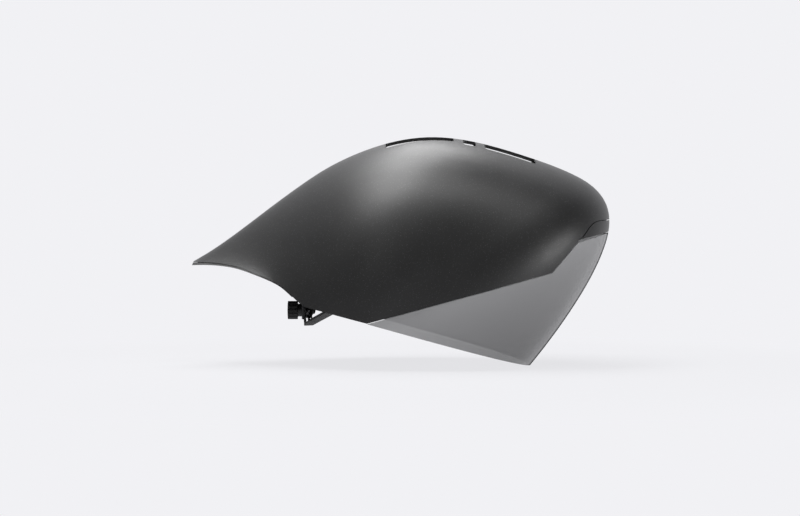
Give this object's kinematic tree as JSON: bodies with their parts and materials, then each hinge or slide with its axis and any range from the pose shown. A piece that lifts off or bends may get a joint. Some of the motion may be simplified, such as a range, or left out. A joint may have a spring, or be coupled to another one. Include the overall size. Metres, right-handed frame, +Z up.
{
  "type": "aero time trial helmet",
  "caption": "Long-tailed aero time trial helmet with crown windows, a magnetic wrap-round visor, foam and slip liners, a dial head fit and folded chin webbing.",
  "frame": {"origin": "centre of the wearer's head, at the level where the head is widest", "axes": "+X forward out of the face, +Y to the wearer's left, +Z up; the helmet is level as worn"},
  "size_m": [0.386, 0.2144, 0.211],
  "materials": {
    "shell_matte": "matte black paint on polycarbonate, with a very fine pale speckle",
    "brow_matte": "matte black, the same as the shell",
    "panel_black": "plain black moulding",
    "foam_black": "black expanded polystyrene with a fine bead texture",
    "visor_clear_grey": "glossy grey polycarbonate lens that light passes through",
    "magnet_nickel": "nickel plated",
    "slip_film": "thin satin polycarbonate film",
    "anchor_rubber": "soft rubber",
    "pad_fabric": "knitted black fabric over thin foam",
    "fit_plastic": "satin black nylon",
    "belt_nylon": "satin black nylon",
    "gear_nylon": "grey acetal",
    "screw_steel": "dark plated steel",
    "dial_grip": "soft grip over black plastic",
    "webbing": "woven black polyester webbing",
    "hardware_plastic": "moulded black acetal",
    "buckle_plastic": "black moulded plastic",
    "keeper_rubber": "black rubber"
  },
  "bodies": {
    "helmet": {"outer_shell": "shell_matte", "brow_cover": "brow_matte", "under_tail_panel": "panel_black", "foam_liner": "foam_black", "tail_foam": "foam_black", "shell_magnets": "magnet_nickel", "height_track": "fit_plastic", "strap_anchors": "hardware_plastic", "side_strap_left": "webbing", "side_strap_right": "webbing", "chin_strap_left": "webbing", "chin_pad": "pad_fabric", "buckle_socket": "buckle_plastic"},
    "visor": {"visor": "visor_clear_grey", "visor_magnets": "magnet_nickel"},
    "slip": {"slip_liner": "slip_film", "slip_anchors": "anchor_rubber", "brow_pad": "pad_fabric", "crown_pad": "pad_fabric", "side_pad_left": "pad_fabric", "side_pad_right": "pad_fabric"},
    "cradle": {"fit_cradle": "fit_plastic", "nape_pad_left": "pad_fabric", "nape_pad_right": "pad_fabric", "dial_housing": "fit_plastic", "housing_screws": "screw_steel", "click_spring": "gear_nylon"},
    "dial": {"dial": "dial_grip", "dial_screw": "screw_steel", "pinion": "gear_nylon"},
    "belt_left": {"fit_belt_left": "belt_nylon"},
    "belt_right": {"fit_belt_right": "belt_nylon"},
    "divider_left": {"strap_divider_left": "hardware_plastic"},
    "divider_right": {"strap_divider_right": "hardware_plastic"},
    "buckle": {"buckle_plug": "buckle_plastic", "chin_strap_right": "webbing", "strap_keeper": "keeper_rubber"}
  },
  "joints": [
    {"name": "visor_pull", "type": "slide", "parent": "helmet", "child": "visor", "axis": [0.2627, 0, -0.9649], "range_m": [0, 0.12]},
    {"name": "slip_turn", "type": "hinge", "parent": "helmet", "child": "slip", "pos_m": [0, 0, 0], "axis": [0, 0, 1], "range_deg": [-3, 3], "stiffness_Nm_per_rad": 4},
    {"name": "cradle_height", "type": "slide", "parent": "helmet", "child": "cradle", "axis": [0, 0, 1], "range_m": [0, 0.008]},
    {"name": "dial_turn", "type": "hinge", "parent": "cradle", "child": "dial", "pos_m": [-0.12, 0, -0.0485], "axis": [1, 0, 0], "range_deg": [-150, 150]},
    {"name": "belt_left_turn", "type": "hinge", "parent": "cradle", "child": "belt_left", "pos_m": [-0.033, 0, -0.0435], "axis": [0, 0, 1], "range_deg": [-8, 8]},
    {"name": "belt_right_turn", "type": "hinge", "parent": "cradle", "child": "belt_right", "pos_m": [-0.033, 0, -0.0435], "axis": [0, 0, 1], "range_deg": [-8, 8]},
    {"name": "divider_left_slide", "type": "slide", "parent": "helmet", "child": "divider_left", "axis": [0, 0, -1], "range_m": [0, 0.006]},
    {"name": "divider_right_slide", "type": "slide", "parent": "helmet", "child": "divider_right", "axis": [0, 0, -1], "range_m": [0, 0.006]},
    {"name": "buckle_pull", "type": "slide", "parent": "helmet", "child": "buckle", "axis": [-1, 0, 0], "range_m": [0, 0.005]}
  ],
  "couplings": [
    {"joint": "belt_left_turn", "follows": "dial_turn", "ratio": 0.039409},
    {"joint": "belt_right_turn", "follows": "dial_turn", "ratio": -0.038554}
  ]
}
